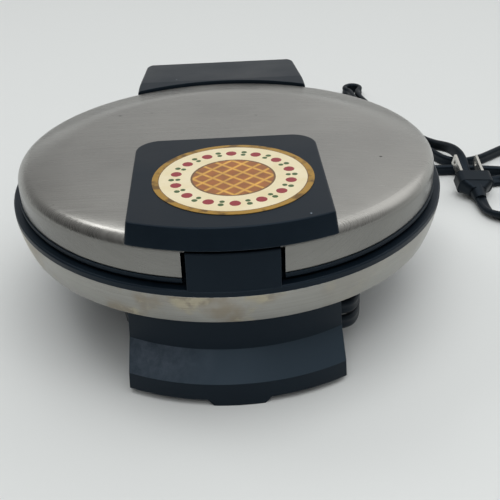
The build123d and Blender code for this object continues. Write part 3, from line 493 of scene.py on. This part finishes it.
def mouldedAbs(name, dustAndToplight=None):
    # ABS from a spark-eroded mould: a fine even grain spreads the light, and handling leaves lint; sharp
    # edges get a painted highlight, and where dust and toplight are given the upward faces are painted
    # lighter, with a dust patch
    material, tree = startMaterial(name)
    broad = clouds(tree, *absLook["patch"])
    shades = [(0.35, absLook["colour"]), (0.8, absLook["worn"])]
    colour = addNode(tree, "ValToRGB", {"stops": shades}, {"Fac": broad})
    smooth, dull = absLook["roughness"]
    rough = addNode(tree, "ValToRGB", {"stops": [(0.3, smooth), (0.8, dull)]}, {"Fac": broad})
    if dustAndToplight:
        colour = addDustAndToplight(tree, dustAndToplight, colour)
    rounded = addNode(tree, "Bevel", {"samples": 4}, {"Radius": absLook["edge"] * mm})
    # painted highlight: the sharp edges are painted a lighter grey, in stretches that follow the broad noise
    edgeHighlightShare = addNode(tree, "Math", cappedTimes, {0: broad, 1: absLook["edgeHighlightReach"]})
    edgeHighlight = addNode(tree, "Math", times, {0: edgeHighlightMask(tree, rounded), 1: edgeHighlightShare})
    colour = addNode(tree, "Mix", layered, {0: edgeHighlight, 6: colour, 7: absLook["edgeHighlight"]}, 2)
    lint = specks(tree, *absLook["lintSpecks"])
    colour = addNode(tree, "Mix", layered, {0: lint, 6: colour, 7: absLook["lint"]}, 2)
    bump = addNode(tree, "Bump", {}, {
        "Strength": absLook["grainStrength"], "Distance": absLook["grainDepth"] * mm,
        "Height": clouds(tree, *absLook["grain"]), "Normal": rounded,
    })
    closeMaterial(tree, {
        "Base Color": colour, "Roughness": rough, "Normal": bump,
        "IOR": absLook["ior"], "Specular IOR Level": absLook["shine"], "Specular Tint": absLook["sheen"],
    })
    return material


# Brushed stainless steel

steelLook = {
    "edgeHighlight": "#dededa",
    "smear": (45.0, 5.0, 0.6),
    "smearDull": 0.09,
    "edge": 0.3,
    "lineDepth": 0.03,
    "lineStrength": 0.2,
    "lineSpread": (-0.07, 0.09),  # what the lines add to the roughness
    "lineTone": (0.90, 1.08),
}
lidLook = {
    "colour": "#a3a29e",
    "pale": "#b4b3ae",
    "pit": "#4c4a46",
    "scratch": "#d0d0cc",
    "scratchTurn": -38,
    "scratchStretch": (30, 2200, 2200),
    "scratchStrength": 0.45,
    "pitSpecks": (4.0, 0.022, 0.8),
    "patch": (60.0, 3.0),
    # painted shade: the lid wall's colour is multiplied by this
    "wall": 0.55,
    "roughness": 0.27,
    "anisotropy": 0.45,
    "linePitch": 0.32,  # real brush lines are finer, and wouldn't show
    "lineLength": 70.0,
    "turn": 7.0,
    "shoulder": 17.0,
    "shoulderSlope": 0.32,
    "edgeRound": 5.0,
}
bandLook = {
    "colour": "#969590",
    "pale": "#a8a7a2",
    "patch": (40.0, 4.0),
    "stain": "#8b7e68",
    "stainNoise": (30.0, 4.0, 0.5, (0.013, 0.0, 0.012)),  # size, detail, roughness, shift in metres
    "stainStrength": 0.6,
    "crust": "#bcb49b",
    "crustNoise": (11.0, 6.0, 0.6, (0.0, 0.02, 0.0)),
    "crustStrength": 0.7,
    "cleanSide": 0.15,  # what is left of the stains on the side away from them
    "roughness": 0.30,
    "anisotropy": 0.3,
    "linePitch": 0.5,
    "lineLength": 60.0,
}


def finishSteel(tree, lines, colour, roughness, bend=None):
    # brush lines set the roughness and a fine bump; smears add to the roughness in patches
    least, most = steelLook["lineSpread"]
    spread = [(0.25, roughness + least), (0.75, roughness + most)]
    rough = addNode(tree, "ValToRGB", {"stops": spread}, {"Fac": lines})
    smear = clouds(tree, *steelLook["smear"])
    rampStops = [(0.42, 0.0), (0.72, steelLook["smearDull"])]
    smear = addNode(tree, "ValToRGB", {"stops": rampStops}, {"Fac": smear})
    rough = addNode(tree, "Math", plus, {0: rough, 1: smear})
    dark, light = steelLook["lineTone"]
    streaks = addNode(tree, "ValToRGB", {"stops": [(0.3, dark), (0.7, light)]}, {"Fac": lines})
    colour = addNode(tree, "Mix", multiplied, {0: 1.0, 6: colour, 7: streaks}, 2)
    rounded = addNode(tree, "Bevel", {"samples": 4}, {"Radius": steelLook["edge"] * mm})
    # painted highlight: the sharp edges of the steel are painted near white
    worn = edgeHighlightMask(tree, rounded)
    colour = addNode(tree, "Mix", layered, {0: worn, 6: colour, 7: steelLook["edgeHighlight"]}, 2)
    if bend:
        rounded = addNode(tree, "Bump", {}, {
            "Strength": 1.0, "Distance": mm, "Height": bend, "Normal": rounded,
        })
    bump = addNode(tree, "Bump", {}, {
        "Strength": steelLook["lineStrength"], "Distance": steelLook["lineDepth"] * mm,
        "Height": lines, "Normal": rounded,
    })
    return {"Base Color": colour, "Roughness": rough, "Normal": bump}


def shoulderBend(tree):
    # height in mm of the drawn shoulder: it starts to fall inside the edge round and levels out over it
    low, high = nodeBox("lid_shell")
    outer = (high[0] - low[0]) / 2
    centre = ((low[0] + high[0]) / 2, low[1] + outer, 0)
    width = lidLook["shoulder"]
    edge = lidLook["edgeRound"]
    start = outer * perMetre - edge
    where = addNode(tree, "TexCoord", result="Object")
    flat = addNode(tree, "VectorMath", times, {0: where, 1: (1, 1, 0)})
    away = addNode(tree, "VectorMath", {"operation": "DISTANCE"}, {0: flat, 1: centre}, "Value")
    radius = addNode(tree, "Math", times, {0: away, 1: perMetre})
    # inside the edge round the slope grows steadily
    before = addNode(tree, "Math", minus, {0: radius, 1: start - width})
    before = addNode(tree, "Math", cappedTimes, {0: before, 1: 1 / width})
    square = addNode(tree, "Math", times, {0: before, 1: before})
    first = addNode(tree, "Math", times, {0: square, 1: width / 2})
    # over the edge round it fades again
    after = addNode(tree, "Math", minus, {0: radius, 1: start})
    after = addNode(tree, "Math", cappedTimes, {0: after, 1: 1 / edge})
    square = addNode(tree, "Math", times, {0: after, 1: after})
    half = addNode(tree, "Math", times, {0: square, 1: 0.5})
    rest = addNode(tree, "Math", minus, {0: after, 1: half})
    rest = addNode(tree, "Math", times, {0: rest, 1: edge})
    fall = addNode(tree, "Math", plus, {0: first, 1: rest})
    return addNode(tree, "Math", times, {0: fall, 1: -lidLook["shoulderSlope"]})


def brushedLid(name):
    # 430 stainless sheet, belt brushed before it was drawn: lines along X blur reflections across them
    material, tree = startMaterial(name)
    place = stretchedPlace(tree, (1, 1, 1), math.radians(lidLook["turn"]))
    apart = addNode(tree, "SeparateXYZ", {}, {"Vector": place}).node.outputs
    along = addNode(tree, "Math", times, {0: apart["X"], 1: perMetre / lidLook["lineLength"]})
    across = addNode(tree, "Math", plus, {0: apart["Y"], 1: apart["Z"]})
    across = addNode(tree, "Math", times, {0: across, 1: perMetre / lidLook["linePitch"]})
    lines = brushLines(tree, addNode(tree, "CombineXYZ", {}, {"X": along, "Y": across}))
    shades = [(0.3, lidLook["colour"]), (0.75, lidLook["pale"])]
    tone = addNode(tree, "ValToRGB", {"stops": shades}, {"Fac": clouds(tree, *lidLook["patch"])})
    # long pale scratches across the brushing, and a few dark pits
    slant = stretchedPlace(tree, lidLook["scratchStretch"], math.radians(lidLook["scratchTurn"]))
    scored = addNode(tree, "TexNoise", {}, {"Vector": slant, "Scale": 1.0, "Detail": 1.0})
    showing = [(0.72, 0.0), (0.76, lidLook["scratchStrength"])]
    scratch = addNode(tree, "ValToRGB", {"stops": showing}, {"Fac": scored})
    tone = addNode(tree, "Mix", layered, {0: scratch, 6: tone, 7: lidLook["scratch"]}, 2)
    pits = specks(tree, *lidLook["pitSpecks"])
    tone = addNode(tree, "Mix", layered, {0: pits, 6: tone, 7: lidLook["pit"]}, 2)
    # the drawn wall is duller than the top
    # painted shade: the wall's colour is darkened, the more the further it faces away from up
    rampStops = [(0.15, lidLook["wall"]), (0.6, 1.0)]
    darkened = addNode(tree, "ValToRGB", {"stops": rampStops}, {"Fac": upwardShare(tree)})
    tone = addNode(tree, "Mix", multiplied, {0: 1.0, 6: tone, 7: darkened}, 2)
    inputs = finishSteel(tree, lines, tone, lidLook["roughness"], shoulderBend(tree))
    inputs["Metallic"] = 1.0
    inputs["Anisotropic"] = lidLook["anisotropy"]
    inputs["Tangent"] = addNode(tree, "Tangent", {"direction_type": "RADIAL", "axis": "Y"})
    closeMaterial(tree, inputs)
    return material


def brushedBand(name):
    # the band was spun and brushed as it turned: lines run round it; baked-on grease leaves tan stains
    material, tree = startMaterial(name)
    length = perMetre / bandLook["lineLength"]
    lines = brushLines(tree, stretchedPlace(tree, (length, length, perMetre / bandLook["linePitch"])))
    shades = [(0.3, bandLook["colour"]), (0.75, bandLook["pale"])]
    tone = addNode(tree, "ValToRGB", {"stops": shades}, {"Fac": clouds(tree, *bandLook["patch"])})
    wide = clouds(tree, *bandLook["stainNoise"])
    wide = addNode(tree, "ValToRGB", {"stops": [(0.47, 0.0), (0.56, 1.0)]}, {"Fac": wide})
    crust = clouds(tree, *bandLook["crustNoise"])
    crust = addNode(tree, "ValToRGB", {"stops": [(0.52, 0.0), (0.60, 1.0)]}, {"Fac": crust})
    # most stains are at the +X side: the share runs from 0 to 1 over 50 mm to both sides of the middle
    where = addNode(tree, "TexCoord", result="Object")
    side = addNode(tree, "SeparateXYZ", {}, {"Vector": where}, "X")
    side = addNode(tree, "Math", times, {0: side, 1: 10.0})
    side = addNode(tree, "Math", plus, {0: side, 1: 0.5})
    side = addNode(tree, "ValToRGB", {"stops": [(0.1, bandLook["cleanSide"]), (0.45, 1.0)]}, {"Fac": side})
    wide = addNode(tree, "Math", times, {0: wide, 1: side})
    stained = addNode(tree, "Math", times, {0: wide, 1: bandLook["stainStrength"]})
    tone = addNode(tree, "Mix", layered, {0: stained, 6: tone, 7: bandLook["stain"]}, 2)
    crust = addNode(tree, "Math", times, {0: crust, 1: wide})
    caked = addNode(tree, "Math", times, {0: crust, 1: bandLook["crustStrength"]})
    tone = addNode(tree, "Mix", layered, {0: caked, 6: tone, 7: bandLook["crust"]}, 2)
    inputs = finishSteel(tree, lines, tone, bandLook["roughness"])
    inputs["Metallic"] = addNode(tree, "Math", minus, {0: 1.0, 1: caked})
    inputs["Anisotropic"] = bandLook["anisotropy"]
    inputs["Tangent"] = addNode(tree, "Tangent", {"direction_type": "RADIAL", "axis": "Z"})
    closeMaterial(tree, inputs)
    return material


# Printed label on the hinge cover

labelLook = {
    "cream": "#eadfbd",
    "aged": "#e3d4a9",
    "gold": "#b98f35",
    "foil": "#7d5c1c",
    "toast": "#9a5a18",
    "crumb": "#d9a441",
    "berry": "#8f1624",
    "leaf": "#3a5720",
    "line": "#6b4a20",
    "agedPatch": 12.0,
    "toastPatch": 5.0,
    "foilPatch": (7.0, 3.0),
    "foilMetal": 0.7,
    "glossPatch": 16.0,
    "cockle": (9.0, 3.0),  # the paper's own waves
    "cockleDepth": 0.06,
    "cockleStrength": 0.3,
    "coat": 0.2,
    "coatRoughness": 0.12,
    "lattice": 12.5,  # how close the lattice's bars are
    "berries": 14,
    # radii are shares of the label's own
    "field": 0.50,
    "rim": 0.925,
    "rings": [(0.50, 0.525, "line"), (0.915, 0.925, "line"), (0.925, 1.3, "gold")],
    # where in its step, ring radius, size
    "fruit": [(0.0, 0.72, 0.068, "berry"), (0.5, 0.76, 0.036, "leaf"), (0.5, 0.68, 0.032, "leaf")],
}


def ringShare(tree, radius, low, high):
    # 1 where the radius lies between two values
    inside = addNode(tree, "Math", below, {0: radius, 1: high})
    outside = addNode(tree, "Math", above, {0: radius, 1: low})
    return addNode(tree, "Math", times, {0: inside, 1: outside})


def beads(tree, radius, angle, phase, ringRadius, size):
    # a ring of round dots about the middle of the label
    count = labelLook["berries"]
    step = addNode(tree, "Math", times, {0: angle, 1: count / (2 * math.pi)})
    step = addNode(tree, "Math", plus, {0: step, 1: phase})
    step = addNode(tree, "Math", {"operation": "FRACT"}, {0: step})
    side = addNode(tree, "Math", minus, {0: step, 1: 0.5})
    side = addNode(tree, "Math", times, {0: side, 1: 2 * math.pi * ringRadius / count})
    side = addNode(tree, "Math", times, {0: side, 1: side})
    out = addNode(tree, "Math", minus, {0: radius, 1: ringRadius})
    out = addNode(tree, "Math", times, {0: out, 1: out})
    square = addNode(tree, "Math", plus, {0: side, 1: out})
    return addNode(tree, "Math", below, {0: square, 1: size * size})


def latticeShare(tree, across):
    # waves along one diagonal of the lattice
    wave = addNode(tree, "Math", times, {0: across, 1: labelLook["lattice"]})
    wave = addNode(tree, "Math", {"operation": "SINE"}, {0: wave})
    return addNode(tree, "Math", {"operation": "ABSOLUTE"}, {0: wave})


def printedLabel(name):
    # gloss laminated paper: print under a clear film, with soft highlights where the paper isn't flat.
    # The print is a toasted lattice ringed by fruit, with a rim of gold foil
    material, tree = startMaterial(name)
    low, high = nodeBox("label_disc")
    centre = tuple((a + b) / 2 for a, b in zip(low, high))
    half = (high[0] - low[0]) / 2
    where = addNode(tree, "TexCoord", result="Object")
    unit = addNode(tree, "Mapping", {"vector_type": "TEXTURE"},
                   {"Vector": where, "Location": centre, "Scale": (half, half, 1.0)})
    apart = addNode(tree, "SeparateXYZ", {}, {"Vector": unit}).node.outputs
    flat = addNode(tree, "CombineXYZ", {}, {"X": apart["X"], "Y": apart["Y"]})
    radius = addNode(tree, "VectorMath", {"operation": "LENGTH"}, {0: flat}, "Value")
    angle = addNode(tree, "Math", {"operation": "ARCTAN2"}, {0: apart["Y"], 1: apart["X"]})
    aged = clouds(tree, labelLook["agedPatch"])
    aged = addNode(tree, "ValToRGB", {"stops": [(0.35, 0.0), (0.7, 1.0)]}, {"Fac": aged})
    colour = addNode(tree, "Mix", layered, {0: aged, 6: labelLook["cream"], 7: labelLook["aged"]}, 2)
    # lattice of the inner field
    first = latticeShare(tree, addNode(tree, "Math", plus, {0: apart["X"], 1: apart["Y"]}))
    second = latticeShare(tree, addNode(tree, "Math", minus, {0: apart["X"], 1: apart["Y"]}))
    least = addNode(tree, "Math", {"operation": "MINIMUM"}, {0: first, 1: second})
    bars = addNode(tree, "ValToRGB", {"stops": [(0.12, 1.0), (0.5, 0.0)]}, {"Fac": least})
    toast = addNode(tree, "Mix", layered, {0: bars, 6: labelLook["toast"], 7: labelLook["crumb"]}, 2)
    shade = clouds(tree, labelLook["toastPatch"])
    shade = addNode(tree, "ValToRGB", {"stops": [(0.3, 0.75), (0.7, 1.15)]}, {"Fac": shade})
    toast = addNode(tree, "Mix", multiplied, {0: 1.0, 6: toast, 7: shade}, 2)
    field = addNode(tree, "Math", below, {0: radius, 1: labelLook["field"]})
    colour = addNode(tree, "Mix", layered, {0: field, 6: colour, 7: toast}, 2)
    # printed rings, then the fruit and leaves
    for inner, outer, part in labelLook["rings"]:
        band = ringShare(tree, radius, inner, outer)
        colour = addNode(tree, "Mix", layered, {0: band, 6: colour, 7: labelLook[part]}, 2)
    for phase, ringRadius, size, part in labelLook["fruit"]:
        dots = beads(tree, radius, angle, phase, ringRadius, size)
        colour = addNode(tree, "Mix", layered, {0: dots, 6: colour, 7: labelLook[part]}, 2)
    # the gold foil of the rim has dulled in patches
    darkened = clouds(tree, *labelLook["foilPatch"])
    darkened = addNode(tree, "ValToRGB", {"stops": [(0.5, 0.0), (0.62, 1.0)]}, {"Fac": darkened})
    rim = addNode(tree, "Math", above, {0: radius, 1: labelLook["rim"]})
    darkened = addNode(tree, "Math", times, {0: darkened, 1: rim})
    colour = addNode(tree, "Mix", layered, {0: darkened, 6: colour, 7: labelLook["foil"]}, 2)
    metal = addNode(tree, "Math", times, {0: rim, 1: labelLook["foilMetal"]})
    rough = clouds(tree, labelLook["glossPatch"])
    rough = addNode(tree, "ValToRGB", {"stops": [(0.3, 0.28), (0.7, 0.42)]}, {"Fac": rough})
    bump = addNode(tree, "Bump", {}, {
        "Strength": labelLook["cockleStrength"], "Distance": labelLook["cockleDepth"] * mm,
        "Height": clouds(tree, *labelLook["cockle"]),
    })
    closeMaterial(tree, {
        "Base Color": colour, "Metallic": metal, "Roughness": rough, "Normal": bump,
        "Coat Weight": labelLook["coat"], "Coat Roughness": labelLook["coatRoughness"],
    })
    return material


# Plainer finishes: what a row leaves out comes from the first dictionary

plainLook = {
    "shine": 0.5,
    "sheen": "#ffffff",
    "spread": 0.15,  # what the patches add to the roughness
    "patch": (14.0, 5.0, 0.6),
    "specks": (3.5, 0.03, 0.35),
    "speckStrength": 0.6,
    "grain": 1.2,
    "bump": 0.04,
    "bumpStrength": 0.3,
    "edge": 0.2,
}
finishes = {
    # PVC drawn through a die: a soft satin skin that holds dust
    "extrudedPvcJacket": {
        "colour": "#070b0f", "other": "#10161b", "mark": "#3c444b", "metal": 0.0, "roughness": 0.38,
        "shine": 0.32, "sheen": "#b4cbe2",
    },
    # PTFE baked on cast aluminium: an even dark satin, browned by oil in places
    "nonStickCoating": {
        "colour": "#131417", "other": "#1f1d1b", "mark": "#4d3a24", "metal": 0.0, "roughness": 0.34,
    },
    # mild steel in bright zinc: a cool shine that clouds
    "zincPlatedSteel": {
        "colour": "#9c9da0", "other": "#b9b9b6", "mark": "#6d5b4a", "metal": 1.0, "roughness": 0.26,
    },
    # nickel alloy tube that has been red hot: a dull olive to brown scale
    "oxidisedHeaterTube": {
        "colour": "#35372f", "other": "#5a5347", "mark": "#7c4f30", "metal": 0.7, "roughness": 0.5,
    },
    # aluminium as it left the mill: pale, half bright, a little smudged
    "rolledAluminium": {
        "colour": "#a9aaab", "other": "#c6c6c4", "mark": "#7b7873", "metal": 1.0, "roughness": 0.34,
    },
    # pressed phenolic and steatite blocks: cream and dull, like unglazed clay
    "mouldedPhenolic": {
        "colour": "#c6bda6", "other": "#d8d1bf", "mark": "#8d8168", "metal": 0.0, "roughness": 0.55,
    },
    # braided glass over wire: matt, with a coarse nap
    "glassFibreSleeve": {
        "colour": "#c9c3b2", "other": "#aaa28e", "mark": "#857c68", "metal": 0.0, "roughness": 0.75,
        "grain": 0.6, "bump": 0.12,
    },
    # cured rubber: flat dark grey with scuffs
    "mouldedRubber": {
        "colour": "#15171a", "other": "#232629", "mark": "#5a5d60", "metal": 0.0, "roughness": 0.68,
    },
    # ABS from a polished mould: clear reflections on black
    "polishedBlackAbs": {
        "colour": "#0a0e12", "other": "#12171b", "mark": "#59626a", "metal": 0.0, "roughness": 0.2,
    },
    # dyed polycarbonate windows: deep colour under a hard gloss
    "redLampLens": {
        "colour": "#8a0f0d", "other": "#a81a14", "mark": "#c46a60", "metal": 0.0, "roughness": 0.12,
    },
    "greenLampLens": {
        "colour": "#12622a", "other": "#1b8036", "mark": "#6fae7c", "metal": 0.0, "roughness": 0.12,
    },
    # stamped brass under tin: bright, with brown rub marks
    "tinnedBrassBlade": {
        "colour": "#b9b8b3", "other": "#cfcdc6", "mark": "#8a7f68", "metal": 1.0, "roughness": 0.22,
    },
}
wearers = {
    "extrudedPvcJacket": ["strain_relief", "mains_plug"],
    "nonStickCoating": ["lower_grid_plate", "upper_grid_plate"],
    "zincPlatedSteel": ["hinge_pin", "hinge_arm", "stand_screws", "handle_screws", "cover_screws"],
    "oxidisedHeaterTube": ["lower_heating_element", "upper_heating_element"],
    "rolledAluminium": ["heat_shield", "plate_sensor", "thermal_fuse"],
    "mouldedPhenolic": ["terminal_block", "thermostat"],
    "glassFibreSleeve": ["element_wires"],
    "mouldedRubber": ["rubber_feet"],
    "polishedBlackAbs": ["control_knob"],
    "redLampLens": ["power_lens"],
    "greenLampLens": ["ready_lens"],
    "tinnedBrassBlade": ["plug_blades"],
}


def plainFinish(name, row):
    # slow patches change the colour and the roughness, with a few specks and a bump from a finer pattern
    look = {**plainLook, **row}
    material, tree = startMaterial(name)
    patches = clouds(tree, *look["patch"])
    shades = [(0.3, look["colour"]), (0.7, look["other"])]
    colour = addNode(tree, "ValToRGB", {"stops": shades}, {"Fac": patches})
    worn = specks(tree, *look["specks"])
    worn = addNode(tree, "Math", times, {0: worn, 1: look["speckStrength"]})
    colour = addNode(tree, "Mix", layered, {0: worn, 6: colour, 7: look["mark"]}, 2)
    spread = [(0.3, look["roughness"]), (0.7, look["roughness"] + look["spread"])]
    rough = addNode(tree, "ValToRGB", {"stops": spread}, {"Fac": patches})
    rounded = addNode(tree, "Bevel", {"samples": 4}, {"Radius": look["edge"] * mm})
    bump = addNode(tree, "Bump", {}, {
        "Strength": look["bumpStrength"], "Distance": look["bump"] * mm,
        "Height": clouds(tree, look["grain"], 3.0), "Normal": rounded,
    })
    closeMaterial(tree, {
        "Base Color": colour, "Roughness": rough, "Normal": bump, "Metallic": look["metal"],
        "Specular IOR Level": look["shine"], "Specular Tint": look["sheen"],
    })
    return material


for finish, row in finishes.items():
    dress(wearers[finish], plainFinish(finish, row))
    print("finished:", finish)

dress(["base_rim", "base_pan", "front_stand", "lid_frame", "hinge_cover", "lid_handle", "lamp_holders"],
      mouldedAbs("mouldedBlackAbs"))
dress(["rear_stand"], mouldedAbs("dustAndToplightBlackAbs", standDustAndToplight))
dress(["lid_shell"], brushedLid("brushedStainlessLid"))
dress(["base_band"], brushedBand("brushedStainlessBand"))
dress(["label_disc"], printedLabel("laminatedPaperLabel"))
mainsCord.data.materials.clear()
mainsCord.data.materials.append(bpy.data.materials["extrudedPvcJacket"])
print("materials on")
